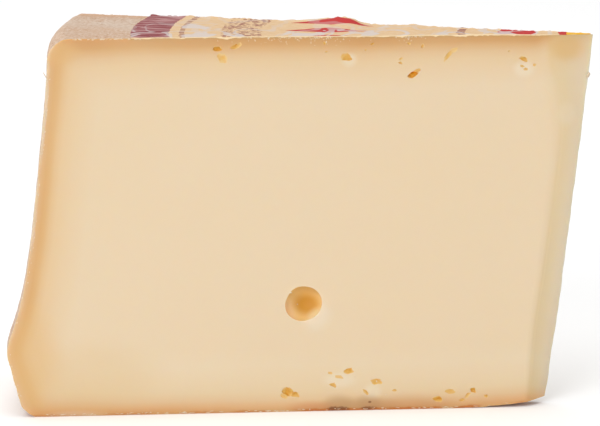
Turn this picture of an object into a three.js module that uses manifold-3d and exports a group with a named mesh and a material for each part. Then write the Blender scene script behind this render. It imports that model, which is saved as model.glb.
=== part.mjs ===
// A wedge of alpine cheese with a paper label on its top rind, in millimetres, +Z up.
// The wheel is turned whole about its axis, and the wedge is then cut out of it by two knife cuts
// through the axis and a third, twisted one that takes off the thin tip. Holes in the paste are
// cut last. The wedge points along +X: the heel, the wheel's outer rind, faces -X.
// The origin is the centre of the base.
import * as THREE from "three";
import { mergeVertices } from "three/addons/utils/BufferGeometryUtils.js";
import Module from "manifold-3d";

const wasm = await Module();
wasm.setup();

// The wheel
const WHEEL_HEIGHT = 80;
const BELLY_RADIUS = 124.4; // the widest place of the heel
// The heel's outline from foot to top: how far it lies inside the belly, and its height as a share
// of the wheel's. The wall leans in above the belly and is a little hollow, as a hooped wheel is.
const HEEL = [
  [5.6, 0],
  [3.3, 0.022],
  [2.0, 0.055],
  [0, 0.181],
  [0.7, 0.228],
  [2.9, 0.318],
  [5.4, 0.481],
  [7.6, 0.737],
  [8.8, 0.905],
  [9.8, 0.983],
  [14.2, 1],
];
const HEEL_STEPS = 46;
const FACE_STEPS = 26; // rings across the top and across the underside
const TURN_STEPS = 360;

// How the top and the underside differ from flat
const TOP_DISH = 0.7; // how much lower the middle of the top lies than its edge
const HOLLOW_RADIUS = 30; // the underside lifts towards the middle from here
const HOLLOW_RISE = 3.2;
const HOLLOW_CURVE = 1.7;
const SWELLING = { radius: 55.5, angle: 11, reach: 7.5, height: 1.4 }; // a low dome at the back edge
const RIPPLE = 0.16; // the rind's unevenness, each way
const RIPPLE_PITCH = 17;
const RELIEF_FADE = 8; // how fast the relief of the top and the underside fades along the heel

// The cuts
const WEDGE_ANGLE = 20;
const CUT_MARGIN = 12; // how far a cutting solid stands proud of the wheel
const NOSE_FRONT = { top: 11.1, bottom: 14.6 }; // from the axis, along the front cut
const NOSE_BACK = { top: 1.7, bottom: 10.9 }; // from the axis, along the back cut
const NOSE_BULGE = 0.35;
const NOSE_OVERRUN = 0.6; // of the nose's width, past each side of the wedge
const NOSE_STEPS = { across: 10, up: 16 };

// The label
const LABEL_RADIUS = 98;
const LABEL_THICKNESS = 0.25;
const LABEL_GAP = 0.1; // between the rind and the paper

// Holes in the front cut. out is the distance from the wheel's axis, up the height, and tilt is in
// degrees, turning from the nose's side upwards. The round eye comes first, then the cracks under
// the top rind from heel to nose, then those over the bottom rind.
const EYE = { out: 62.2, up: 23.3, wide: 7.9, tall: 7.35, deep: 3.6, tilt: 22 };
const CRACKS = [
  { out: 80.1, up: 77.6, wide: 1.4, tall: 0.9, deep: 1.6, tilt: 10 },
  { out: 76.4, up: 78.1, wide: 2.2, tall: 0.9, deep: 1.3, tilt: 24 },
  { out: 79.2, up: 75.5, wide: 2.0, tall: 1.5, deep: 0.7, tilt: -20 },
  { out: 57.7, up: 78.6, wide: 0.7, tall: 1.0, deep: 1.0, tilt: 0 },
  { out: 53.2, up: 75.6, wide: 1.9, tall: 1.7, deep: 1.4, tilt: 0 },
  { out: 47.8, up: 78.3, wide: 1.1, tall: 0.7, deep: 0.8, tilt: 15 },
  { out: 41.8, up: 74.8, wide: 1.0, tall: 1.2, deep: 0.6, tilt: 30 },
  { out: 37.3, up: 77.8, wide: 0.9, tall: 1.2, deep: 0.7, tilt: 0 },
  { out: 39.1, up: 71.8, wide: 2.4, tall: 1.4, deep: 2.6, tilt: 38 },
  { out: 31.6, up: 75.9, wide: 3.3, tall: 1.0, deep: 1.2, tilt: 44 },
  { out: 16.1, up: 74.8, wide: 1.9, tall: 1.3, deep: 1.3, tilt: -28 },
  { out: 16.4, up: 72.7, wide: 0.9, tall: 0.8, deep: 0.7, tilt: -20 },
  { out: 13.7, up: 73.5, wide: 0.9, tall: 0.8, deep: 0.6, tilt: 0 },
  { out: 64.3, up: 3.9, wide: 2.6, tall: 1.3, deep: 1.5, tilt: -12 },
  { out: 66.0, up: 4.2, wide: 1.7, tall: 1.5, deep: 0.9, tilt: 30 },
  { out: 52.4, up: 8.5, wide: 1.9, tall: 1.6, deep: 1.8, tilt: 20 },
  { out: 54.9, up: 7.4, wide: 2.6, tall: 1.1, deep: 0.5, tilt: -10 },
  { out: 56.0, up: 5.7, wide: 1.6, tall: 1.1, deep: 0.9, tilt: -25 },
  { out: 46.8, up: 6.0, wide: 2.7, tall: 1.6, deep: 1.2, tilt: 5 },
  { out: 49.1, up: 3.9, wide: 1.5, tall: 0.8, deep: 0.8, tilt: -35 },
  { out: 33.7, up: 2.1, wide: 2.1, tall: 1.0, deep: 1.1, tilt: -18 },
  { out: 31.0, up: 3.6, wide: 1.5, tall: 1.1, deep: 0.9, tilt: 15 },
  { out: 26.3, up: 3.8, wide: 1.3, tall: 0.9, deep: 1.1, tilt: -25 },
  { out: 27.4, up: 2.4, wide: 2.0, tall: 0.7, deep: 0.7, tilt: 50 },
  { out: 23.5, up: 2.5, wide: 1.1, tall: 0.7, deep: 0.9, tilt: -25 },
];

// Holes in the back cut, which are drawn at random in the same kinds of place
const BACK_EYES = [
  { out: 88, up: 41, wide: 6.6, tall: 6.9, deep: 3.4, tilt: -15 },
  { out: 47, up: 57, wide: 5.2, tall: 4.6, deep: 2.5, tilt: 30 },
];
const BACK_CRACKS = 14;
const BACK_CRACK_REACH = { from: 20, to: 104 };
const BACK_CRACK_BAND = { from: 2.4, to: 7 }; // from the top or the bottom rind
const BACK_CRACK_SIZE = { from: 0.9, to: 2.4 };
const BACK_CRACK_TALL = { from: 0.5, to: 0.9 }; // as a share of its width
const BACK_CRACK_DEEP = { from: 0.4, to: 0.8 };
const BACK_CRACK_TILT = { from: -50, to: 50 };
const SEED = 20;

const EYE_DETAIL = 5;
const CRACK_DETAIL = 1;
const CRACK_JITTER = 0.22; // how far a crack's corners stray, as a share of its size
const HOLE_SUNK = 0.12; // how deep a hole's middle lies, as a share of its depth, so it has a belly

const halfAngle = THREE.MathUtils.degToRad(WEDGE_ANGLE / 2);
const FRONT = -1;
const BACK = 1;

// A point of a cut, out from the axis and up from the base; side is FRONT or BACK
function onCut(side, out, up) {
  return new THREE.Vector3(-out * Math.cos(halfAngle), side * out * Math.sin(halfAngle), up);
}

function seededRandom(seed) {
  let state = seed;
  return () => {
    state = (state + 0x6d2b79f5) | 0;
    let mixed = Math.imul(state ^ (state >>> 15), 1 | state);
    mixed = (mixed + Math.imul(mixed ^ (mixed >>> 7), 61 | mixed)) ^ mixed;
    return ((mixed ^ (mixed >>> 14)) >>> 0) / 4294967296;
  };
}
const random = seededRandom(SEED);
const randomIn = ({ from, to }) => THREE.MathUtils.lerp(from, to, random());

// A closed three.js geometry as a manifold solid
function solid(geometry) {
  const bare = geometry.clone();
  bare.deleteAttribute("normal");
  bare.deleteAttribute("uv");
  const merged = mergeVertices(bare);
  const triangles = [];
  for (let i = 0; i < merged.index.count; i += 3) {
    const [a, b, c] = merged.index.array.subarray(i, i + 3);
    if (a !== b && b !== c && c !== a) triangles.push(a, b, c);
  }
  return new wasm.Manifold(
    new wasm.Mesh({
      numProp: 3,
      vertProperties: merged.attributes.position.array,
      triVerts: Uint32Array.from(triangles),
    }),
  );
}

function namedMesh(name, body, material) {
  const { vertProperties, triVerts } = body.getMesh();
  const geometry = new THREE.BufferGeometry();
  geometry.setAttribute("position", new THREE.BufferAttribute(vertProperties, 3));
  geometry.setIndex(new THREE.BufferAttribute(triVerts, 1));
  geometry.computeVertexNormals();
  const mesh = new THREE.Mesh(geometry, material);
  mesh.name = name;
  return mesh;
}

function moveVertices(geometry, move) {
  const position = geometry.attributes.position;
  const point = new THREE.Vector3();
  for (let i = 0; i < position.count; i++) {
    move(point.fromBufferAttribute(position, i));
    position.setXYZ(i, point.x, point.y, point.z);
  }
  return geometry;
}

// Slow waves over the rind
function ripple({ x, y, z }) {
  const turn = (2 * Math.PI) / RIPPLE_PITCH;
  const along = Math.sin(turn * (x + 0.4 * y)) + Math.sin(turn * (0.61 * y - 0.37 * x + 0.5 * z));
  return (RIPPLE * (along + Math.sin(turn * (0.73 * z + 0.28 * y)))) / 3;
}

// How far the top lies above the wheel's height
function topRelief(point) {
  const out = Math.hypot(point.x, point.y);
  const dish = TOP_DISH * (out / BELLY_RADIUS - 1);
  const turn = Math.PI - THREE.MathUtils.degToRad(SWELLING.angle);
  const away = Math.hypot(
    point.x - SWELLING.radius * Math.cos(turn),
    point.y - SWELLING.radius * Math.sin(turn),
  );
  const dome = SWELLING.height * Math.exp(-((away / SWELLING.reach) ** 2));
  return dish + dome + ripple(point);
}

function undersideRise(point) {
  const share = Math.max(0, 1 - Math.hypot(point.x, point.y) / HOLLOW_RADIUS);
  return HOLLOW_RISE * share ** HOLLOW_CURVE;
}

// Turns an outline of [radius, height] points about Z
function turned(outline) {
  const points = outline.map(([out, up]) => new THREE.Vector2(out, up));
  const halfStep = Math.PI / TURN_STEPS;
  return new THREE.LatheGeometry(points, TURN_STEPS, halfStep).rotateX(Math.PI / 2);
}

// The radii of the rings across a face, from the axis outwards
function rings(radius) {
  return Array.from({ length: FACE_STEPS }, (_, i) => (radius * i) / FACE_STEPS);
}

function wheel() {
  const heel = new THREE.CatmullRomCurve3(
    HEEL.map(([inset, share]) => new THREE.Vector3(BELLY_RADIUS - inset, share * WHEEL_HEIGHT, 0)),
    false,
    "centripetal",
  )
    .getSpacedPoints(HEEL_STEPS)
    .map(({ x, y }) => [x, y]);
  const underside = rings(heel[0][0]).map((out) => [out, 0]);
  const top = rings(heel[HEEL_STEPS][0]).map((out) => [out, WHEEL_HEIGHT]);
  const body = turned([...underside, ...heel, ...top.reverse()]);
  return moveVertices(body, (point) => {
    const share = point.z / WHEEL_HEIGHT;
    const swell = 1 + (ripple(point) / BELLY_RADIUS) * Math.min(1, 4 * share * (1 - share));
    const lift = topRelief(point) * share ** RELIEF_FADE;
    const rise = undersideRise(point) * (1 - share) ** RELIEF_FADE;
    point.set(point.x * swell, point.y * swell, point.z + lift + rise);
  });
}

function label() {
  const lower = WHEEL_HEIGHT + LABEL_GAP;
  const upper = lower + LABEL_THICKNESS;
  const radii = [...rings(LABEL_RADIUS), LABEL_RADIUS];
  const under = radii.map((out) => [out, lower]);
  const over = radii.map((out) => [out, upper]).reverse();
  return moveVertices(turned([...under, ...over]), (point) => {
    point.z += topRelief(point);
  });
}

// The room between the two straight cuts
function betweenCuts() {
  const far = BELLY_RADIUS + CUT_MARGIN;
  const plan = new THREE.Shape();
  plan.moveTo(0, 0);
  for (const side of [BACK, FRONT]) {
    const corner = onCut(side, far, 0);
    plan.lineTo(corner.x, corner.y);
  }
  const depth = WHEEL_HEIGHT + 2 * CUT_MARGIN;
  return new THREE.ExtrudeGeometry(plan, { depth, bevelEnabled: false }).translate(0, 0, -CUT_MARGIN);
}

// The block that the third cut takes off. Its near face runs from the front cut to the back cut.
function noseBlock() {
  const block = new THREE.BoxGeometry(1, 1, 1, 1, NOSE_STEPS.across, NOSE_STEPS.up);
  return moveVertices(block, (point) => {
    const isNear = point.x < 0;
    const share = THREE.MathUtils.lerp(-NOSE_OVERRUN, 1 + NOSE_OVERRUN, point.y + 0.5);
    const up = THREE.MathUtils.lerp(-CUT_MARGIN, WHEEL_HEIGHT + CUT_MARGIN, point.z + 0.5);
    const height = up / WHEEL_HEIGHT;
    const front = onCut(FRONT, THREE.MathUtils.lerp(NOSE_FRONT.bottom, NOSE_FRONT.top, height), up);
    const back = onCut(BACK, THREE.MathUtils.lerp(NOSE_BACK.bottom, NOSE_BACK.top, height), up);
    const outward = new THREE.Vector3(back.y - front.y, front.x - back.x, 0).normalize();
    point.lerpVectors(front, back, share);
    point.addScaledVector(outward, NOSE_BULGE * Math.max(0, 4 * share * (1 - share)));
    if (!isNear) point.x = CUT_MARGIN;
  });
}

// A hole's own shape, laid in the XZ plane and opening towards the given side's cut
function hole(side, { out, up, wide, tall, deep, tilt }, detail, jitter) {
  const facets = new THREE.IcosahedronGeometry(1, detail);
  facets.deleteAttribute("normal");
  facets.deleteAttribute("uv");
  const ball = mergeVertices(facets);
  moveVertices(ball, (point) => point.multiplyScalar(1 + jitter * (2 * random() - 1)));
  const reach = (1 - HOLE_SUNK) * deep;
  const spread = 1 / Math.sqrt(1 - (HOLE_SUNK / (1 - HOLE_SUNK)) ** 2);
  ball.scale((wide / 2) * spread, reach, (tall / 2) * spread);
  ball.rotateY(THREE.MathUtils.degToRad(-tilt));
  ball.translate(0, -side * HOLE_SUNK * deep, 0);
  ball.rotateZ(-side * halfAngle);
  const place = onCut(side, out, up);
  return solid(ball.translate(place.x, place.y, place.z));
}

function backCracks() {
  return Array.from({ length: BACK_CRACKS }, () => {
    const fromRind = randomIn(BACK_CRACK_BAND);
    const wide = randomIn(BACK_CRACK_SIZE);
    const underTop = random() < 0.5;
    return {
      out: randomIn(BACK_CRACK_REACH),
      up: underTop ? WHEEL_HEIGHT - fromRind : fromRind,
      wide,
      tall: wide * randomIn(BACK_CRACK_TALL),
      deep: wide * randomIn(BACK_CRACK_DEEP),
      tilt: randomIn(BACK_CRACK_TILT),
    };
  });
}

function holes() {
  return [
    hole(FRONT, EYE, EYE_DETAIL, 0),
    ...CRACKS.map((crack) => hole(FRONT, crack, CRACK_DETAIL, CRACK_JITTER)),
    ...BACK_EYES.map((eye) => hole(BACK, eye, EYE_DETAIL - 1, 0)),
    ...backCracks().map((crack) => hole(BACK, crack, CRACK_DETAIL, CRACK_JITTER)),
  ];
}

const wedge = solid(betweenCuts()).subtract(solid(noseBlock()));
const cheese = holes().reduce(
  (body, hollow) => body.subtract(hollow),
  solid(wheel()).intersect(wedge),
);
const paper = solid(label()).intersect(wedge);

const pasteMaterial = new THREE.MeshStandardMaterial({ color: 0xecd5b0, roughness: 0.55, metalness: 0 });
const paperMaterial = new THREE.MeshStandardMaterial({ color: 0xf0d2a0, roughness: 0.7, metalness: 0 });

const part = new THREE.Group();
part.add(namedMesh("cheese", cheese, pasteMaterial), namedMesh("label", paper, paperMaterial));

// The middle of the base becomes the origin
const bounds = new THREE.Box3().setFromObject(part);
const middle = bounds.getCenter(new THREE.Vector3());
part.children.forEach((mesh) => mesh.geometry.translate(-middle.x, -middle.y, -bounds.min.z));

export default part;
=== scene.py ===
"""A wedge of alpine cheese: the cut wedge with its rind, eye and cracks, the worn paper label on its
top, the shreds along its cut edges, and a plain stage to show it on.

Laid out as an add-on and run as a script."""
import math
import random

import bmesh
import bpy
from bpy.props import FloatProperty, FloatVectorProperty, IntProperty, PointerProperty
from mathutils import Matrix, Vector, noise


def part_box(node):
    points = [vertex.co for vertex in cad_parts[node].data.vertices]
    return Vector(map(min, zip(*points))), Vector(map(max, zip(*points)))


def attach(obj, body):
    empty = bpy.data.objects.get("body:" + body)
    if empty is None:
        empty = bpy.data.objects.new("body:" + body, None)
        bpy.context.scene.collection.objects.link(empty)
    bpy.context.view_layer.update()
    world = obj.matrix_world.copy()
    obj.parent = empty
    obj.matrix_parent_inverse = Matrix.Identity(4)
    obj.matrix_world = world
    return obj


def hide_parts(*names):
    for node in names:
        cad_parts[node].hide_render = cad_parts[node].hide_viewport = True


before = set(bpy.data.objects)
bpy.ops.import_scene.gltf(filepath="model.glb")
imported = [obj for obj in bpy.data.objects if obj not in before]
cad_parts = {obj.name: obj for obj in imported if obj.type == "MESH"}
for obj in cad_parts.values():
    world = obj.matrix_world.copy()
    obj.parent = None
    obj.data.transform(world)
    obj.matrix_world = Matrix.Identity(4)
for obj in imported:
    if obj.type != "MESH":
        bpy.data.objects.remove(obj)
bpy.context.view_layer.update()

bl_info = {
    "name": "Alpine Cheese Wedge",
    "version": (1, 0, 0),
    "blender": (4, 5, 0),
    "location": "3D View > Sidebar > Cheese",
    "description": "Builds a cut wedge of alpine cheese with a paper label",
    "category": "Add Mesh",
}

MM = 0.001
LIGHT_LEVEL = 1.22  # how bright a white front cut looks on the stage, where 1 is the screen's white

# Slots of the wedge's materials, in the order in which its faces number them
PASTE, RIND, EYE_WALL, CRACK_WALL = range(4)
FRONT, BACK = -1, 1

# The heel's wall from foot to top, before its corners are rounded: share of the height, and how far
# the wall lies inside the belly
HEEL_WALL = (
    (0.000, 3.4 * MM),
    (0.055, 2.2 * MM),
    (0.100, 1.25 * MM),
    (0.135, 0.55 * MM),
    (0.160, 0.0),
    (0.190, 0.05 * MM),
    (0.215, 0.7 * MM),
    (0.255, 1.8 * MM),
    (0.320, 3.2 * MM),
    (0.421, 4.7 * MM),
    (0.580, 6.3 * MM),
    (0.740, 7.65 * MM),
    (0.870, 8.7 * MM),
    (1.000, 9.2 * MM),
)

# The nose's front edge from foot to top: share of the height, and distance from the wheel's axis
NOSE_FRONT = (
    (0.000, 14.6 * MM),
    (0.060, 14.45 * MM),
    (0.195, 13.8 * MM),
    (0.314, 12.6 * MM),
    (0.467, 11.05 * MM),
    (0.619, 9.7 * MM),
    (0.723, 9.0 * MM),
    (0.785, 9.05 * MM),
    (0.825, 9.8 * MM),
    (0.875, 10.55 * MM),
    (1.000, 11.3 * MM),
)

# Swellings at the top's back edge in millimetres: distance from the axis, height, and reach towards
# the heel and the nose
SWELLINGS = (
    (54.2, 1.15, 8.5, 2.6),
    (40.5, 0.3, 1.6, 1.6),
)

# Holes of a cut in millimetres and degrees: distance from the wheel's axis, height, width, height of
# the hole, depth, and tilt, which turns its nose side upwards
EYE = (62.2, 23.3, 7.9, 7.35, 3.0, 22)
FRONT_CRACKS = (
    (80.1, 77.6, 1.4, 1.0, 0.58, 10),
    (76.4, 78.1, 2.2, 0.9, 0.26, 24),
    (79.2, 75.5, 2.5, 1.8, 0.3, -20),
    (57.7, 78.6, 0.6, 0.9, 0.3, 0),
    (57.4, 76.8, 0.4, 0.3, 0.17, 30),
    (53.2, 75.6, 1.9, 1.7, 0.41, 0),
    (47.8, 78.3, 1.0, 0.5, 0.25, 15),
    (49.2, 77.1, 0.4, 0.3, 0.17, 0),
    (40.1, 78.3, 0.6, 0.5, 0.19, 0),
    (41.8, 75.1, 0.9, 0.5, 0.17, 15),
    (41.9, 74.3, 0.8, 0.5, 0.17, -20),
    (37.3, 77.8, 0.8, 1.1, 0.22, 0),
    (39.3, 71.7, 1.6, 1.1, 0.75, 38),
    (38.5, 72.5, 1.5, 0.8, 0.22, 40),
    (32.0, 75.6, 2.2, 0.9, 0.13, 46),
    (30.8, 76.7, 1.6, 0.8, 0.14, 44),
    (16.1, 74.8, 1.5, 0.85, 0.22, -28),
    (16.4, 73.2, 0.8, 0.6, 0.19, -35),
    (15.6, 72.5, 0.7, 0.6, 0.19, 10),
    (13.7, 73.5, 0.8, 0.6, 0.17, 0),
    (19.1, 76.4, 0.3, 0.3, 0.12, 0),
    (65.5, 4.4, 1.8, 1.6, 0.38, 30),
    (64.2, 3.75, 2.6, 1.5, 0.6, -8),
    (66.3, 3.4, 1.4, 0.9, 0.12, -30),
    (52.4, 8.5, 2.2, 1.9, 0.75, 20),
    (54.6, 7.4, 2.2, 1.0, 0.07, -10),
    (56.5, 8.2, 0.9, 0.5, 0.08, -10),
    (56.0, 5.7, 1.4, 0.85, 0.18, -25),
    (46.9, 6.1, 2.5, 1.4, 0.28, 5),
    (49.1, 3.9, 1.4, 0.8, 0.22, -35),
    (42.9, 4.1, 0.7, 0.5, 0.17, 20),
    (33.7, 2.1, 2.1, 1.0, 0.33, -18),
    (31.0, 3.6, 1.5, 1.0, 0.18, 15),
    (26.2, 3.9, 1.2, 0.8, 0.3, -25),
    (27.3, 2.7, 1.6, 0.7, 0.19, 50),
    (28.4, 1.8, 1.0, 0.6, 0.17, 20),
    (23.5, 2.5, 1.1, 0.7, 0.28, -25),
)
HOLE_SWELL, HOLE_SWELLS = 0.05, 1.4  # how uneven a hole is, as a share of its size, and how often
TORN_SHARE, TORN_SWELLS = 0.5, 3  # the same for the fine tears of a crack, as a share of its jitter
CLEAR = 0.8  # holes are apart when their middles are farther off than this share of both widths
EYE_SUNK = 0.12  # how deep an eye's middle lies, as a share of its depth
CRACK_SUNK = -0.6  # a crack is shallow: the middle of its curve lies in front of the cut
BACK_EYES = (
    (88.0, 41.0, 6.6, 6.9, 3.4, -15),
    (47.0, 57.0, 5.2, 4.6, 2.5, 30),
)

# Spots on the nose: share of the way from its front to its back edge, height, half width, half height
NOSE_GLOW = (0.45, 77.0, 4.8, 4.0)
NOSE_HAZE = (0.38, 62.9, 2.6, 3.5)

# Spots on the front cut in millimetres: distance from the axis, height, half width, half height
# Pale spots beside holes; the first, below the eye on its nose side, is a painted highlight where the
# eye's rounded lip catches the light
PALE_SPOTS_AND_HIGHLIGHT = (
    (59.6, 20.6, 4.4, 4.2),
    (54.5, 6.6, 4.6, 2.2),
    (52.6, 75.0, 2.2, 2.0),
    (47.6, 4.0, 2.6, 2.4),
    (16.0, 72.6, 3.0, 2.4),
)
STAINS = (
    (54.9, 0.45, 2.9, 0.65),
    (48.6, 0.45, 2.2, 0.6),
    (48.1, 1.75, 0.5, 0.3),
)
SHADOWS = (
    (54.8, 1.2, 4.4, 3.2),
    (48.4, 1.2, 3.8, 3.0),
    (50.6, 0.8, 11.0, 2.8),
)
WARM_FOOT = (39.5, 0.6, 12.5, 3.4)
RED_FOOT = (60.4, 0.2, 7.0, 2.6)
PALE_FOOT = (110.4, 0.4, 8.0, 1.1)
WARM_CORNER = (107.0, 8.0, 20.0, 10.0)
WARM_BELLY = (121.0, 12.5, 10.0, 15.0)
WARM_SHOULDER = (112.8, 77.4, 5.5, 3.8)
SCUFFS = (
    (119.6, 42.0, 2.6, 9.0),
    (116.2, 64.0, 2.6, 14.0),
)

# Painted light and shade in the front eye: shade deep in its heart and under its roof, a highlight on
# its lower lip and light on its shaded side towards the heel. Spots give distance from the axis,
# height, half width, half height, depth behind the cut
EYE_HEART_SHADE = (61.3, 22.6, 3.6, 3.2, 2.4)
EYE_ROOF_SHADE = (60.3, 26.2, 4.2, 2.2, 1.0)
EYE_LIP_HIGHLIGHT = (59.5, 20.6, 2.9, 2.5, 0.2)
EYE_PAINTED_LIGHT = (65.0, 21.8, 3.2, 3.6, 1.0)

# Loose crumbs on the front cut: distance from the axis, height, depth, width, height, tilt in degrees
CRUMBS = (
    (46.6, 6.0, 0.2, 0.3, 0.9, -26),
    (63.2, 22.6, 2.75, 0.3, 0.22, 0),
    (64.8, 25.7, 0.05, 0.6, 0.35, 35),
    (51.3, 7.2, 0.0, 0.3, 0.3, 20),
    (44.6, 3.3, 0.0, 0.25, 0.5, 45),
)

# Print of the label in millimetres from the wheel's axis: middle and half width of its rings, and
# radius of its spots
MAROON_RING = (94, 4)
FINE_DASHES = (87.4, 0.55)
DOTTED_RING = (75, 4.2)
LOZENGE_RING = (57, 9)
COARSE_DASHES = (29, 0.9)
RED_RING = (17.4, 3.9)
RED_SPOT = 8.8
YELLOW_SPOT = 7.2
FINE_PITCH, COARSE_PITCH = 1.1, 5.0  # degrees from dash to dash
LOZENGE_PITCH = 4.6  # degrees from the middle of a lozenge to the gap beside it
LOZENGE_WIDTH = 3.1  # half of it, in millimetres


def tint(red, green, blue):
    """The linear colour of a surface that looks like this, 0 to 255, on a cut in the stage's light."""

    def linear(share):
        return share / 12.92 if share <= 0.04045 else ((share + 0.055) / 1.055) ** 2.4

    return tuple(linear(channel / 255) / LIGHT_LEVEL for channel in (red, green, blue))


def length(name, description, default):
    return FloatProperty(
        name=name, description=description, default=default, unit="LENGTH", precision=5
    )


def colour(name, description, default):
    return FloatVectorProperty(
        name=name, description=description, default=default, size=3, subtype="COLOR", min=0, max=1
    )


class CheeseSizes(bpy.types.PropertyGroup):
    """Sizes of the wheel, its cuts and its label."""

    height: length("Height", "Height of the wheel", 80 * MM)
    belly: length("Belly", "Radius of the wheel at its widest", 124.4 * MM)
    angle: FloatProperty(
        name="Angle",
        description="Angle between the two straight cuts",
        default=math.radians(20),
        subtype="ANGLE",
    )
    shoulder_front: length("Shoulder, front", "Rounding under the top at the front cut", 4.1 * MM)
    shoulder_back: length("Shoulder, back", "Rounding under the top at the back cut", 1.8 * MM)
    foot: length("Foot", "Size of the worn corner at the foot", 2.4 * MM)
    dish: length("Dish", "How much lower the middle of the top lies than its edge", 0.4 * MM)
    lean: length("Lean", "How much lower the heel's top lies at the back than at the front", 0.55 * MM)
    hollow: length("Hollow", "Radius from which the underside lifts towards the middle", 30 * MM)
    hollow_rise: length("Hollow rise", "Height of the hollow at the axis", 3.2 * MM)
    nose_back_top: length("Nose back, top", "Back edge of the nose at the top", 1.5 * MM)
    nose_back_foot: length("Nose back, foot", "Back edge of the nose at the foot", 10.9 * MM)
    nose_bow: length("Nose bow", "How far the back edge of the nose bows out halfway up", 0.3 * MM)
    nose_bulge: length("Nose bulge", "How far the nose stands out in its middle", 0.35 * MM)
    worn_top: length("Worn edge, top", "Reach of wear on the nose's front edge at the top", 1.4 * MM)
    worn_foot: length("Worn edge, foot", "Reach of wear on the nose's front edge at the foot", 0.7 * MM)
    label: length("Label", "Radius of the paper label", 98 * MM)
    paper: length("Paper", "Thickness of the label", 0.16 * MM)
    seed: IntProperty(name="Seed", description="Chooses the cracks, shreds and crumbs", default=20)


class CheeseColours(bpy.types.PropertyGroup):
    """Colours of the cheese, its rind and its label."""

    paste: colour("Paste", "Colour of the cut paste", tint(236, 214, 181))
    under_rind: colour("Under the rind", "Drier paste just under the rind", tint(213, 160, 101))
    eye: colour("Eye", "Shiny wall of an eye", tint(250, 208, 136))
    crack: colour("Crack", "Wall of a crack", tint(228, 168, 66))
    rind: colour("Rind", "Brushed rind of the top and heel", tint(209, 177, 151))
    bloom: colour("Bloom", "Pale bloom on the rind", tint(228, 208, 190))
    base: colour("Base", "Darker rind of the underside", tint(206, 122, 60))
    paper: colour("Paper", "Bare paper of the label", tint(235, 202, 160))
    worn: colour("Worn paper", "Paper rubbed pale", tint(220, 210, 206))
    maroon: colour("Maroon", "Outer band of the label", tint(144, 62, 66))
    red: colour("Red", "Red print of the label", tint(200, 48, 46))
    brown: colour("Brown", "Brown print of the label", tint(158, 98, 88))
    yellow: colour("Yellow", "Spot in the middle of the label", tint(246, 188, 30))
    shred: colour("Shred", "Torn fibres and crumbs", tint(238, 220, 192))


# Shape of the wedge


def curve_through(points):
    """A smooth function through (place, value) points, straight on past its ends."""
    places, values = zip(*points)
    last = len(points) - 1

    def slope(i):
        before, after = max(i - 1, 0), min(i + 1, last)
        return (values[after] - values[before]) / (places[after] - places[before])

    def value_at(place):
        i = max(k for k in range(last) if k == 0 or places[k] <= place)
        span = places[i + 1] - places[i]
        t = (place - places[i]) / span
        start = values[i] * (1 + 2 * t) * (1 - t) ** 2 + slope(i) * span * t * (1 - t) ** 2
        return start + values[i + 1] * t * t * (3 - 2 * t) + slope(i + 1) * span * t * t * (t - 1)

    return value_at


def lerp(low, high, share):
    return low + (high - low) * share


def smooth_step(value, reach):
    """0 below minus the reach and 1 above it."""
    share = within(0.5 + value / (2 * reach), 0, 1)
    return share * share * (3 - 2 * share)


def hump(value, middle, width):
    """1 at the middle, falling off smoothly on both sides."""
    return math.exp(-(((value - middle) / width) ** 2))


def within(value, low, high):
    return min(max(value, low), high)


def bunched(share, pull):
    """Moves evenly spaced shares closer to both ends, where the edges need the finest mesh."""
    return share - pull * math.sin(2 * math.pi * share) / (2 * math.pi)


def round_corner(out, up, chamfer):
    """Maps a unit square onto a corner that is rounded off: 0 gives an arc and 1 a straight slope."""
    arc = (out * math.sqrt(1 - up * up / 2), up * math.sqrt(1 - out * out / 2))
    slope = (out * (1 - up / 2), up * (1 - out / 2))
    return lerp(arc[0], slope[0], chamfer), lerp(arc[1], slope[1], chamfer)


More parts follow.
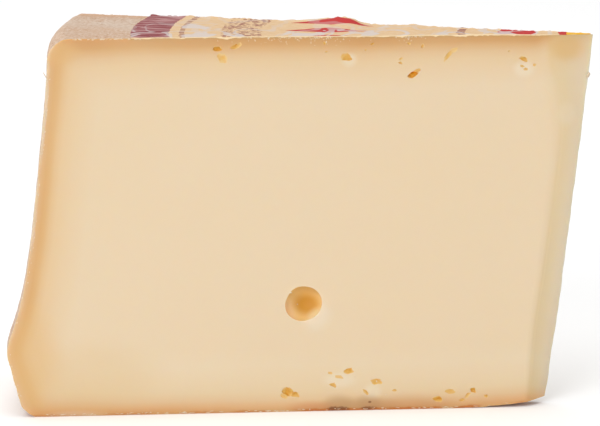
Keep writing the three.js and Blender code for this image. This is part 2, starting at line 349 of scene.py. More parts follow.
class Wedge:
    """Where the points of the wedge lie, in the frame's metres."""

    FRAY, FRAY_PITCH = 0.16 * MM, 2.7 * MM  # unevenness of the nose's back edge
    TOP_WAVES, TOP_PITCH = 0.1 * MM, 11 * MM  # unevenness of the top
    SWELLING_TURN = 1.1  # where the swellings lie, as a share of the turn to the back cut
    SWELLING_REACH = 7  # how far they reach across the wedge in millimetres
    SHOULDER_SLOPE, FOOT_SLOPE = 0.12, 0.6  # shares of a straight slope in the rounded corners
    HOLLOW_CURVE = 1.7  # how steeply the underside lifts
    FADE = 8  # how soon the unevenness of the top and the underside ends towards mid height

    def __init__(self, sizes):
        self.sizes = sizes
        self.inset = curve_through(HEEL_WALL)
        self.nose_front = curve_through(NOSE_FRONT)
        low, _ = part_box("cheese")
        self.axis = Vector((low[0] + sizes.belly, 0, 0))
        self.half_angle = sizes.angle / 2

    def place(self, out, up, turn):
        return self.axis + Vector((-out * math.cos(turn), out * math.sin(turn), up))

    def wall(self, up):
        """Radius of the heel's wall at a height."""
        return self.sizes.belly - self.inset(up / self.sizes.height)

    def nose_edges(self, up):
        """The front and back ends of the nose at a height, as seen from the axis."""
        sizes = self.sizes
        share = up / sizes.height
        bow = sizes.nose_bow * 4 * share * (1 - share)
        back_out = lerp(sizes.nose_back_foot, sizes.nose_back_top, share) - bow
        front = self.place(self.nose_front(share), 0, -self.half_angle) - self.axis
        back = self.place(back_out, 0, self.half_angle) - self.axis
        return front.to_2d(), back.to_2d()

    def nose(self, up, turn):
        """Distance from the axis to the twisted nose, looking out at an angle."""
        front, back = self.nose_edges(up)
        chord = back - front
        look = (self.place(1, 0, turn) - self.axis).to_2d()
        out = front.cross(chord) / look.cross(chord)
        across = (turn + self.half_angle) / (2 * self.half_angle)
        ragged = self.FRAY * noise.noise(Vector((0.3, 0.7, up / self.FRAY_PITCH))) * across**6
        return out - self.sizes.nose_bulge * 4 * across * (1 - across) + ragged

    def front_spot(self, spot):
        """A spot on or behind the front cut as middle, half width and half height."""
        out, up, wide, tall, *deep = (value * MM for value in spot)
        inward = Vector((-math.sin(self.half_angle), math.cos(self.half_angle), 0))
        return self.place(out, up, -self.half_angle) + inward * sum(deep), wide, tall

    def nose_spot(self, spot):
        """A spot of the nose as middle, half width and half height."""
        share, *sizes = spot
        up, wide, tall = (size * MM for size in sizes)
        front, back = self.nose_edges(up)
        return self.axis + front.lerp(back, share).to_3d() + Vector((0, 0, up)), wide, tall

    def soften(self, point):
        """Wears the upright edge between the front cut and the nose, most of all near the top."""
        sizes = self.sizes
        share = within(point.z / sizes.height, 0, 1)
        reach = lerp(sizes.worn_foot, sizes.worn_top, share)
        up = share * sizes.height
        corner = self.place(self.nose(up, -self.half_angle), point.z, -self.half_angle)
        behind = self.place(self.nose(up, self.half_angle), point.z, self.half_angle)
        front = (self.place(1, 0, -self.half_angle) - self.axis).to_2d()
        nose = (behind - corner).to_2d().normalized()
        gap = (point - corner).to_2d()
        along, across = gap.cross(nose) / front.cross(nose), gap.cross(front) / nose.cross(front)
        if along < reach and across < reach:
            in_front, on_nose = round_corner(min(1 - along / reach, 1), min(1 - across / reach, 1), 0)
            worn = front * (1 - in_front) * reach + nose * (1 - on_nose) * reach
            return corner + worn.to_3d()
        return point

    def top(self, out, turn):
        """Height of the top rind: dished and leaning, with low swellings at its back edge."""
        sizes = self.sizes
        point = self.place(out, 0, turn)
        swell = 0
        for middle, high, to_heel, to_nose in SWELLINGS:
            away = (point - self.place(middle * MM, 0, self.SWELLING_TURN * self.half_angle)) / MM
            reach = to_nose if away.x > 0 else to_heel
            across = away.y / self.SWELLING_REACH
            swell += high * MM * math.exp(-((away.x / reach) ** 2) - across**2)
        waves = self.TOP_WAVES * noise.noise(point / self.TOP_PITCH)
        lean = sizes.lean * point.y / (2 * sizes.belly * math.sin(self.half_angle))
        return sizes.height + sizes.dish * (out / sizes.belly - 1) - lean + swell + waves

    def is_under_label(self, point):
        flat = (point - self.axis).to_2d()
        return flat.length < self.sizes.label and point.z > self.sizes.height / 2

    def underside(self, out):
        sizes = self.sizes
        return sizes.hollow_rise * max(0, 1 - out / sizes.hollow) ** self.HOLLOW_CURVE

    def shoulder(self, across):
        """Size of the rounding under the top, at a share of the way from the front to the back cut."""
        return lerp(self.sizes.shoulder_front, self.sizes.shoulder_back, across)

    def rounded(self, out, up, shoulder):
        """Takes a point of the sharp-cornered section to the section with its shoulder and foot."""
        sizes = self.sizes
        edge = self.wall(up)
        across = 1 - (edge - out) / shoulder
        rise = 1 - (sizes.height - up) / shoulder
        if across > 0 and rise > 0:
            across, rise = round_corner(across, rise, self.SHOULDER_SLOPE)
            up = sizes.height - (1 - rise) * shoulder
            return self.wall(up) - (1 - across) * shoulder, up
        across = 1 - (edge - out) / sizes.foot
        drop = 1 - up / sizes.foot
        if across > 0 and drop > 0:
            across, drop = round_corner(across, drop, self.FOOT_SLOPE)
            up = (1 - drop) * sizes.foot
            return self.wall(up) - (1 - across) * sizes.foot, up
        return out, up

    def point(self, along, across, rise):
        """A point by its shares of the way from heel to nose, front to back and foot to top."""
        sizes = self.sizes
        turn = lerp(-self.half_angle, self.half_angle, across)
        up = rise * sizes.height
        out = lerp(self.wall(up), self.nose(up, turn), along)
        out, up = self.rounded(out, up, self.shoulder(across))
        share = up / sizes.height
        lift = (self.top(out, turn) - sizes.height) * share**self.FADE
        up = up + lift + self.underside(out) * (1 - share) ** self.FADE
        return self.soften(self.place(out, up, turn))

    def depths(self, point):
        """How deep a point lies under the top, the underside and the heel."""
        flat = point - self.axis
        out = math.hypot(flat.x, flat.y)
        turn = math.atan2(flat.y, -flat.x)
        up = within(point.z, 0, self.sizes.height)
        top = self.top(out, turn) - point.z
        base = point.z - self.underside(out)
        heel = self.wall(up) - out
        corner = self.shoulder(within(turn / (2 * self.half_angle) + 0.5, 0, 1))
        if top < corner and heel < corner:
            round_heel = corner - math.hypot(corner - top, corner - heel)
            heel = lerp(round_heel, heel, (heel / corner) ** 2)
        return top, base, heel

    def cut_depths(self, point):
        """How deep a point lies behind the nearer straight cut, how far past the nose's front edge, and
        its share of the way across the nose."""
        flat = (point - self.axis).to_2d()
        turn = within(math.atan2(flat.y, -flat.x), -self.half_angle, self.half_angle)
        up = within(point.z, 0, self.sizes.height)
        front, back = self.nose_edges(up)
        chord = back - front
        across = within((flat - front).dot(chord) / chord.length_squared, 0, 1)
        behind_nose = max(0, flat.length - self.nose(up, turn))
        past_edge = across * chord.length - behind_nose * (1 + 9 * across)
        return flat.length * math.sin(self.half_angle - abs(turn)), past_edge, across


# Building blocks for meshes


def mesh_of(name, bm, materials=()):
    """Turns a bmesh into a mesh with these materials, and frees it."""
    mesh = bpy.data.meshes.new(name)
    bm.to_mesh(mesh)
    bm.free()
    for material in materials:
        mesh.materials.append(material)
    return mesh


def add_object(name, data):
    """Links a new object with a mesh, a light or a camera into the scene."""
    thing = bpy.data.objects.new(name, data)
    bpy.context.scene.collection.objects.link(thing)
    return thing


def new_piece(name, bm, materials, replaces=()):
    """Makes a shown piece of the bmesh, which rides on the part's one body."""
    piece = add_object(name, mesh_of(name, bm, materials))
    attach(piece, "root")
    if replaces:
        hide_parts(*replaces)
    return piece


def shade(bm, sharp_angle):
    """Smooth faces, with the edges that bend more than an angle kept sharp."""
    for face in bm.faces:
        face.smooth = True
    for edge in bm.edges:
        edge.smooth = len(edge.link_faces) == 2 and edge.calc_face_angle(0) < sharp_angle


def lattice_block(bm, along, across, rise):
    """A unit cube whose faces are divided into cells."""
    bmesh.ops.create_cube(bm, size=1)
    for axis, cells in enumerate((along, across, rise)):
        runs = [e for e in bm.edges if abs((e.verts[0].co - e.verts[1].co)[axis]) > 0.5]
        bmesh.ops.subdivide_edges(bm, edges=runs, cuts=cells - 1, use_grid_fill=True)


def cut_holes(body, cutter):
    """Takes the cutter's shape out of the body, and the cutter out of the scene."""
    cut = body.modifiers.new("holes", "BOOLEAN")
    cut.operation = "DIFFERENCE"
    cut.solver = "MANIFOLD"
    cut.object = cutter
    graph = bpy.context.evaluated_depsgraph_get()
    mesh = bpy.data.meshes.new_from_object(body.evaluated_get(graph))
    body.modifiers.remove(cut)
    body.data = mesh
    spent = cutter.data
    bpy.data.objects.remove(cutter)
    bpy.data.meshes.remove(spent)


def add_shape(bm, shape):
    """Moves all of one bmesh into another."""
    mesh = mesh_of("shape", shape)
    bm.from_mesh(mesh)
    bpy.data.meshes.remove(mesh)


def hole_shape(bm, wedge, side, hole, draw, slot, detail, jitter, sunk):
    """Adds a hollow's outer shape: an uneven ball whose middle is sunk by a share of its depth."""
    out, up, wide, tall, deep, tilt = hole
    ball = bmesh.new()
    bmesh.ops.create_icosphere(ball, subdivisions=detail, radius=1)
    shift = Vector((draw.uniform(0, 50), draw.uniform(0, 50), draw.uniform(0, 50)))
    for vert in ball.verts:
        swell = HOLE_SWELL * noise.noise(vert.co * HOLE_SWELLS + shift)
        vert.co *= 1 + jitter * draw.uniform(-1, 1) + swell
    if jitter:
        bmesh.ops.subdivide_edges(ball, edges=ball.edges[:], cuts=3, use_grid_fill=True)
        for vert in ball.verts:
            vert.co *= 1 + TORN_SHARE * jitter * noise.noise(vert.co * TORN_SWELLS + shift)
    spread = (1 + jitter) / math.sqrt(1 - (sunk / (1 - sunk)) ** 2)
    size = Vector((wide / 2 * spread, (1 - sunk) * deep, tall / 2 * spread)) * MM
    turn = Matrix.Rotation(-side * wedge.half_angle, 4, "Z")
    spot = wedge.place(out * MM, up * MM, side * wedge.half_angle)
    into = Matrix.Translation((0, -side * sunk * deep * MM, 0))
    lean = Matrix.Rotation(math.radians(-tilt), 4, "Y")
    shape = Matrix.Translation(spot) @ turn @ into @ lean @ Matrix.Diagonal(size.to_4d())
    bmesh.ops.transform(ball, verts=ball.verts[:], matrix=shape)
    for face in ball.faces:
        face.material_index = slot
    add_shape(bm, ball)


def apart(holes):
    """Sorts holes into groups in which none touches another."""
    groups = []
    for hole in holes:
        for group in groups:
            gaps = (math.dist(hole[:2], other[:2]) - CLEAR * (hole[2] + other[2]) for other in group)
            if min(gaps) > 0:
                group.append(hole)
                break
        else:
            groups.append([hole])
    return groups


# Materials


class Finish:
    """A node material in the making. Values that are sockets are linked, and others are set."""

    def __init__(self, name):
        self.material = bpy.data.materials.new(name)
        self.material.use_nodes = True
        self.tree = self.material.node_tree
        self.shader = self.tree.nodes["Principled BSDF"]

    def put(self, socket, value):
        if isinstance(value, bpy.types.NodeSocket):
            self.tree.links.new(value, socket)
        elif socket.type == "RGBA" and len(value) == 3:
            socket.default_value = (*value, 1)
        else:
            socket.default_value = value

    def add(self, kind, *values, **settings):
        """A node with its settings, and its first inputs filled in order."""
        node = self.tree.nodes.new("ShaderNode" + kind)
        for key, value in settings.items():
            setattr(node, key, value)
        for socket, value in zip([s for s in node.inputs if s.enabled], values):
            self.put(socket, value)
        return node

    def fill(self, node, **values):
        """Fills a node's inputs by name, with _ for a space."""
        for key, value in values.items():
            name = key.replace("_", " ").title().replace("Ior", "IOR")
            self.put(node.inputs[name], value)
        return node

    def surface(self, **values):
        self.fill(self.shader, **values)

    def place(self):
        return self.add("TexCoord").outputs["Object"]

    def attribute(self, name):
        return self.add("Attribute", attribute_name=name).outputs["Fac"]

    def math(self, operation, *values):
        return self.add("Math", *values, operation=operation).outputs[0]

    def times(self, first, second):
        return self.math("MULTIPLY", first, second)

    def plus(self, first, second):
        return self.math("ADD", first, second)

    def scaled(self, value, by, plus):
        """A value times one amount plus another."""
        return self.math("MULTIPLY_ADD", value, by, plus)

    def vector(self, operation, *values):
        return self.add("VectorMath", *values, operation=operation).outputs[0]

    def mix(self, share, first, second, blend="MIX"):
        node = self.add("Mix", share, first, second, data_type="RGBA", blend_type=blend)
        return next(s for s in node.outputs if s.enabled)

    def grain(self, place, scale, detail=2.0, roughness=0.5, distortion=0.0):
        node = self.add("TexNoise", noise_dimensions="3D")
        self.fill(node, vector=place, scale=scale, detail=detail)
        self.fill(node, roughness=roughness, distortion=distortion)
        return node.outputs["Fac"]

    def stretch(self, place, scale, turn=(0, 0, 0)):
        node = self.add("Mapping", vector_type="POINT")
        return self.fill(node, vector=place, scale=scale, rotation=turn).outputs[0]

    def between(self, value, low, high):
        """0 below low and 1 above high, with a smooth step between them."""
        node = self.add("MapRange", interpolation_type="SMOOTHSTEP")
        return self.fill(node, value=value, from_min=low, from_max=high).outputs[0]

    def ramp(self, value, stops):
        """A colour that runs through (value, colour) stops."""
        reach = stops[-1][0]
        node = self.add("ValToRGB", self.math("DIVIDE", value, reach))
        elements = node.color_ramp.elements
        while len(elements) < len(stops):
            elements.new(1)
        for element, (position, shade_there) in zip(elements, stops):
            element.position = position / reach
            element.color = (*shade_there, 1)
        return node.outputs[0]

    def spot(self, place, spot, strength, fray=0.0):
        """A soft oval: strength in its middle, 0 at its rim, which a fray about 0 makes ragged."""
        middle, wide, tall = spot
        away = self.vector("SUBTRACT", place, tuple(middle))
        share = self.vector("MULTIPLY", away, (1 / wide, 1 / wide, 1 / tall))
        reach = self.add("VectorMath", share, operation="LENGTH").outputs["Value"]
        return self.times(self.between(self.plus(reach, fray), 1.0, 0.3), strength)

    def dab(self, tone, place, spot, share, spot_tone, fray=0.0):
        """A tone with a soft oval of another laid over it."""
        return self.mix(self.spot(place, spot, share, fray), tone, spot_tone)

    def bump(self, height, distance, strength=1.0):
        node = self.fill(self.add("Bump"), strength=strength, distance=distance, height=height)
        self.put(self.shader.inputs["Normal"], node.outputs[0])


def with_spots(f, place, tone, wedge, spot_tones):
    """A tone with spots of the front cut laid over it in order: share in the middle, tone, places."""
    for share, spot_tone, spots in spot_tones:
        for spot in spots:
            tone = f.dab(tone, place, wedge.front_spot(spot), share, spot_tone)
    return tone


def dry_band(f, colours, cloud):
    """Tone of the paste by its depth under the rind: brownest just under it."""
    depth = f.plus(cloud, f.math("SUBTRACT", f.attribute("depth_mm"), 0.5))
    flat_band = (
        (0.6, colours.under_rind),
        (1.6, tint(217, 168, 111)),
        (2.5, tint(224, 181, 132)),
        (3.6, tint(229, 195, 151)),
        (5.2, tint(233, 205, 164)),
        (7.5, tint(235, 209, 172)),
        (11.0, colours.paste),
    )
    heel_band = (
        (0.0, tint(221, 186, 148)),
        (0.7, tint(223, 181, 130)),
        (1.5, tint(223, 176, 117)),
        (2.3, tint(226, 182, 126)),
        (3.2, tint(231, 195, 146)),
        (4.5, tint(234, 204, 161)),
        (7.0, tint(235, 209, 171)),
        (11.0, colours.paste),
    )
    return f.mix(f.attribute("heel_share"), f.ramp(depth, flat_band), f.ramp(depth, heel_band))


def tint_nose(f, place, tone, wedge):
    """Darkens and cools the nose towards its back edge, partly its own tone and partly painted shade of
    a side turned from the light; lightens its lower part as painted light against the shade near the
    floor; and lays a warm glow and a haze on its upper part.
    """
    on_nose = f.attribute("nose_share")
    across = f.attribute("nose_across")
    # Partly the nose's own tone and partly painted shade of a side turned from the light: yellowish
    # near its front edge, darker and cooler towards its back edge
    painted_shade_across = (
        (0.0, (0.98, 0.95, 0.83)),
        (0.4, (0.94, 0.935, 0.84)),
        (0.8, (0.885, 0.925, 0.945)),
        (1.0, (0.84, 0.9, 0.99)),
    )
    tone = f.mix(on_nose, tone, f.ramp(across, painted_shade_across), "MULTIPLY")
    # Painted light: the nose's lower part is lightened against the shade that falls near the floor
    painted_light_up = (
        (0.0, (1.09, 1.1, 1.14)),
        (30.0, (1.07, 1.09, 1.12)),
        (62.0, (1.0, 1.0, 1.0)),
    )
    share = f.times(on_nose, f.between(across, 0.1, 0.7))
    tone = f.mix(share, tone, f.ramp(f.attribute("base_mm"), painted_light_up), "MULTIPLY")
    tone = f.dab(tone, place, wedge.nose_spot(NOSE_GLOW), 0.55, tint(223, 178, 112))
    return f.dab(tone, place, wedge.nose_spot(NOSE_HAZE), 0.2, tint(240, 232, 214))


def tint_cuts(f, place, tone, wedge):
    """Pales the paste above the foot as painted light against the shade near the floor, and lays warm
    clouds and the front cut's spots over it.
    """
    # Painted light: the paste up to 14 mm above the foot is lightened and tinted against the shade that
    # falls near the floor
    painted_light_up = (
        (0.0, (1.1, 1.02, 0.98)),
        (1.0, (1.06, 1.0, 0.99)),
        (2.5, (1.02, 1.04, 1.07)),
        (5.0, (1.01, 1.06, 1.11)),
        (8.0, (1.01, 1.04, 1.07)),
        (14.0, (1.0, 1.0, 1.0)),
    )
    tone = f.mix(1.0, tone, f.ramp(f.attribute("base_mm"), painted_light_up), "MULTIPLY")
    warm = f.between(f.grain(place, 22, 2), 0.35, 0.75)
    tone = f.mix(f.times(warm, 0.25), tone, tint(236, 210, 168))
    spot_tones = (
        (0.42, tint(241, 230, 209), PALE_SPOTS_AND_HIGHLIGHT),
        (0.42, tint(188, 148, 102), SHADOWS),
        (0.33, tint(196, 138, 88), [WARM_FOOT]),
        (0.55, tint(214, 146, 92), [RED_FOOT]),
        (0.6, tint(228, 190, 156), [PALE_FOOT]),
        (0.35, tint(228, 197, 147), [WARM_CORNER]),
        (0.45, tint(230, 189, 130), [WARM_BELLY]),
        (0.5, tint(230, 189, 130), [WARM_SHOULDER]),
    )
    return with_spots(f, place, tone, wedge, spot_tones)


def tint_edges(f, place, tone, wedge, fine, crust_tone):
    """Broken skin and scuffs along the heel, and crust and stains along the foot."""
    heel_mm, base_mm = f.attribute("heel_mm"), f.attribute("base_mm")
    ragged = f.scaled(fine, 0.7, -0.35)
    fray = f.scaled(f.grain(place, 420, 3, 0.65), 1.8, -0.9)
    skin = f.between(f.plus(heel_mm, ragged), 0.85, 0.15)
    above_foot = f.between(base_mm, 6.0, 26.0)
    broken = f.times(f.between(f.grain(place, 110, 2), 0.38, 0.6), above_foot)
    tone = f.mix(f.times(skin, f.times(broken, 0.8)), tone, tint(230, 203, 170))
    torn = f.between(f.scaled(fray, 0.35, heel_mm), 0.75, 0.4)
    for spot in SCUFFS:
        share = f.times(torn, f.spot(place, wedge.front_spot(spot), 0.9))
        tone = f.mix(share, tone, tint(224, 202, 174))
    patches = f.between(f.grain(f.stretch(place, (0.35, 0.35, 1.0)), 330, 2), 0.36, 0.54)
    crust = f.between(f.plus(base_mm, ragged), 0.7, 0.25)
    crust = f.times(crust, f.math("SUBTRACT", patches, f.attribute("nose_share")))
    to_nose = f.between(f.add("SeparateXYZ", place).outputs["X"], -25 * MM, 10 * MM)
    tone = f.mix(f.times(crust, f.scaled(to_nose, 0.45, 0.5)), tone, crust_tone)
    for spot in STAINS:
        tone = f.dab(tone, place, wedge.front_spot(spot), 0.75, tint(122, 68, 38), fray)
    return tone


def paste_finish(colours, wedge):
    """Cut paste: waxy and even, drier and browner under the rind, with pale and stained spots."""
    f = Finish("cheese_paste")
    place = f.place()
    cloud = f.grain(place, 60, 3)
    fine = f.grain(place, 700, 3, 0.6)
    tone = dry_band(f, colours, cloud)
    tone = tint_nose(f, place, tone, wedge)
    tone = tint_cuts(f, place, tone, wedge)
    tone = tint_edges(f, place, tone, wedge, fine, colours.base)
    f.surface(
        base_color=tone,
        roughness=f.scaled(cloud, 0.12, 0.5),
        subsurface_weight=0.4,
        subsurface_radius=(1.0, 0.6, 0.3),
        subsurface_scale=2.5 * MM,
        specular_ior_level=0.25,
    )
    f.bump(f.plus(fine, f.times(cloud, 2.0)), 0.04 * MM, 0.5)
    return f.material


def hole_finish(name, wedge, tone_at, spot_tones=()):
    """Moist wall of a hole: its tone runs through stops by depth, with spots laid over it."""
    f = Finish(name)
    place = f.place()
    cloud = f.grain(place, 160, 2)
    depth = f.scaled(cloud, 0.1, f.math("SUBTRACT", f.attribute("sunk_mm"), 0.05))
    f.surface(
        base_color=with_spots(f, place, f.ramp(depth, tone_at), wedge, spot_tones),
        roughness=f.scaled(cloud, 0.2, 0.38),
        subsurface_weight=0.4,
        subsurface_radius=(1.0, 0.55, 0.2),
        subsurface_scale=2.5 * MM,
        specular_ior_level=0.3,
    )
    f.bump(f.grain(place, 900, 2), 0.04 * MM, 0.4)
    return f.material


def eye_finish(colours, wedge):
    """Smooth wall of an eye: painted shade in its amber heart and under its roof, painted light on its
    shaded side and a painted highlight at the lip that the light falls on.
    """
    depths = (
        (0.0, tint(246, 218, 168)),
        (0.4, tint(248, 212, 150)),
        (1.5, colours.eye),
        (3.0, tint(244, 196, 116)),
    )
    # Painted light and shade laid over the wall in this order: light on the shaded side, shade under
    # the roof, shade deep in the heart and a highlight on the lower lip
    spot_tones = (
        (0.85, (0.97, 0.7, 0.38), [EYE_PAINTED_LIGHT]),
        (0.6, tint(216, 164, 92), [EYE_ROOF_SHADE]),
        (0.95, tint(222, 157, 40), [EYE_HEART_SHADE]),
        (0.85, tint(248, 226, 178), [EYE_LIP_HIGHLIGHT]),
    )
    return hole_finish("cheese_eye", wedge, depths, spot_tones)


def crack_finish(colours, wedge):
    """Torn wall of a crack: pale at its rim and amber at its bottom."""
    depths = (
        (0.0, tint(238, 202, 142)),
        (0.12, tint(234, 188, 108)),
        (0.3, colours.crack),
        (0.7, tint(246, 166, 8)),
    )
    return hole_finish("cheese_crack", wedge, depths)


def rind_finish(colours):
    """Brushed rind: suede-like tan with pale bloom, browner on the underside."""
    f = Finish("cheese_rind")
    place = f.place()
    fibre = f.grain(f.stretch(place, (1.0, 1.0, 1.6), (0.2, 0.3, 0.5)), 1100, 4, 0.65, 0.6)
    speck = f.grain(f.stretch(place, (1.0, 0.45, 0.8)), 1500, 4, 0.75)
    blotch = f.grain(place, 90, 4, 0.6)
    tone = f.mix(f.between(blotch, 0.32, 0.68), colours.rind, tint(217, 195, 175))
    tan = f.between(f.grain(place, 38, 2), 0.5, 0.68)
    tone = f.mix(f.times(tan, 0.45), tone, tint(210, 170, 136))
    tone = f.mix(f.times(f.between(speck, 0.5, 0.64), 0.75), tone, colours.bloom)
    tone = f.mix(f.times(f.between(speck, 0.46, 0.34), 0.7), tone, tint(184, 142, 112))
    sides = f.add("SeparateXYZ", place).outputs
    back = f.between(sides["Y"], 0.0, 6 * MM)
    dry = f.between(f.scaled(blotch, 6.0, f.attribute("sunk_mm")), 7.5, 3.0)
    tone = f.mix(f.times(f.times(dry, back), 0.6), tone, tint(214, 164, 124))
    low = f.between(f.scaled(blotch, 3 * MM, sides["Z"]), 3.5 * MM, 1.5 * MM)
    floor_tone = f.mix(f.between(fibre, 0.5, 0.7), colours.base, tint(232, 206, 178))
    f.surface(
        base_color=f.mix(low, tone, floor_tone),
        roughness=f.scaled(blotch, 0.2, 0.68),
        specular_ior_level=0.25,
    )
    f.bump(f.plus(fibre, f.times(blotch, 1.5)), 0.14 * MM, 0.9)
    return f.material


def label_finish(colours, axis):
    """Printed paper rubbed pale in streaks: a maroon band, dashed and dotted rings, red lozenges and a
    yellow spot."""
    f = Finish("label_print")
    place = f.place()
    sides = f.add("SeparateXYZ", f.vector("SUBTRACT", place, tuple(axis))).outputs
    from_axis = f.math("SQRT", f.plus(f.math("POWER", sides["X"], 2), f.math("POWER", sides["Y"], 2)))
    smear = f.grain(place, 300, 3)
    out = f.plus(f.math("DIVIDE", from_axis, MM), f.scaled(smear, 1.2, -0.6))
    turn = f.math("ARCTAN2", sides["Y"], f.times(sides["X"], -1))

    def ring(middle, half):
        return f.math("COMPARE", out, middle, half)

    def inside(radius):
        return f.math("LESS_THAN", out, radius)

    def dashes(pitch):
        wave = f.math("SINE", f.times(turn, 2 * math.pi / math.radians(pitch)))
        return f.math("GREATER_THAN", wave, -0.2)

    fibre = f.grain(f.stretch(place, (1, 1.3, 1)), 700, 3)
    paper = f.mix(f.between(fibre, 0.3, 0.75), colours.paper, tint(227, 189, 143))
    streak = f.grain(f.stretch(place, (0.14, 0.7, 1.0), (0, 0, 0.12)), 900, 3, 0.6, 0.8)
    maroon = f.mix(f.between(streak, 0.42, 0.62), colours.maroon, tint(196, 148, 146))
    tone = f.mix(ring(*MAROON_RING), paper, maroon)
    tone = f.mix(f.times(ring(*FINE_DASHES), dashes(FINE_PITCH)), tone, colours.brown)
    dots = f.fill(f.add("TexVoronoi", place, feature="F1"), scale=1100)
    stipple = f.times(ring(*DOTTED_RING), f.math("LESS_THAN", dots.outputs["Distance"], 0.48))
    tone = f.mix(f.times(stipple, 0.85), tone, colours.brown)
    middle, half = LOZENGE_RING
    arc = f.times(f.math("PINGPONG", f.plus(turn, 1.0), math.radians(LOZENGE_PITCH)), middle)
    reach = f.math("DIVIDE", f.math("ABSOLUTE", f.math("SUBTRACT", out, middle)), half)
    lozenge = f.plus(f.math("DIVIDE", arc, LOZENGE_WIDTH), reach)
    tone = f.mix(f.math("LESS_THAN", lozenge, 1.0), tone, colours.red)
    tone = f.mix(f.times(ring(*COARSE_DASHES), dashes(COARSE_PITCH)), tone, colours.brown)
    tone = f.mix(ring(*RED_RING), tone, colours.red)
    tone = f.mix(inside(RED_SPOT), tone, colours.red)
    tone = f.mix(inside(YELLOW_SPOT), tone, colours.yellow)
    edge = f.scaled(smear, 0.7, f.attribute("edge_mm"))
    rub = f.grain(f.stretch(place, (0.8, 0.4, 1), (0, 0, -0.5)), 190, 3, 0.5, 1.2)
    near_front = f.between(edge, 16.0, 1.0)
    bare = f.between(f.scaled(near_front, 0.1, rub), 0.65, 0.7)
    fold = f.grain(f.stretch(place, (1.0, 0.6, 1.0), (0, 0, 0.4)), 150, 0.0, 0.5, 0.9)
    creases = f.between(f.math("ABSOLUTE", f.math("SUBTRACT", fold, 0.5)), 0.07, 0.045)
    scuff = f.math("MAXIMUM", bare, f.times(creases, f.scaled(near_front, 0.7, 0.3)))
    scuff = f.times(scuff, f.between(out, 8.0, 12.0))
    tone = f.mix(f.times(scuff, 0.8), tone, colours.worn)
    # A pale line along the paper's front edge: partly pale torn fibre and partly a painted highlight
    # where the edge catches the light
    tone = f.mix(f.between(edge, 0.75, 0.4), tone, tint(246, 218, 172))
    f.surface(base_color=tone, roughness=f.scaled(fibre, 0.15, 0.6), specular_ior_level=0.25)
    f.bump(f.plus(fibre, f.times(scuff, 0.6)), 0.05 * MM, 0.7)
    return f.material


def shred_finish(colours):
    """Torn fibres and crumbs."""
    f = Finish("cheese_shred")
    place = f.place()
    cloud = f.grain(place, 400, 2)
    tone = f.mix(cloud, colours.shred, tint(232, 206, 170))
    f.surface(base_color=tone, roughness=0.7, specular_ior_level=0.25)
    f.bump(f.grain(place, 2500, 2), 0.03 * MM, 0.5)
    return f.material


def floor_finish():
    f = Finish("stage_floor")
    cloud = f.grain(f.place(), 6, 2)
    tone = f.mix(cloud, (0.94, 0.94, 0.94), (0.95, 0.95, 0.95))
    f.surface(base_color=tone, roughness=0.9, specular_ior_level=0.1)
    return f.material


# Operators


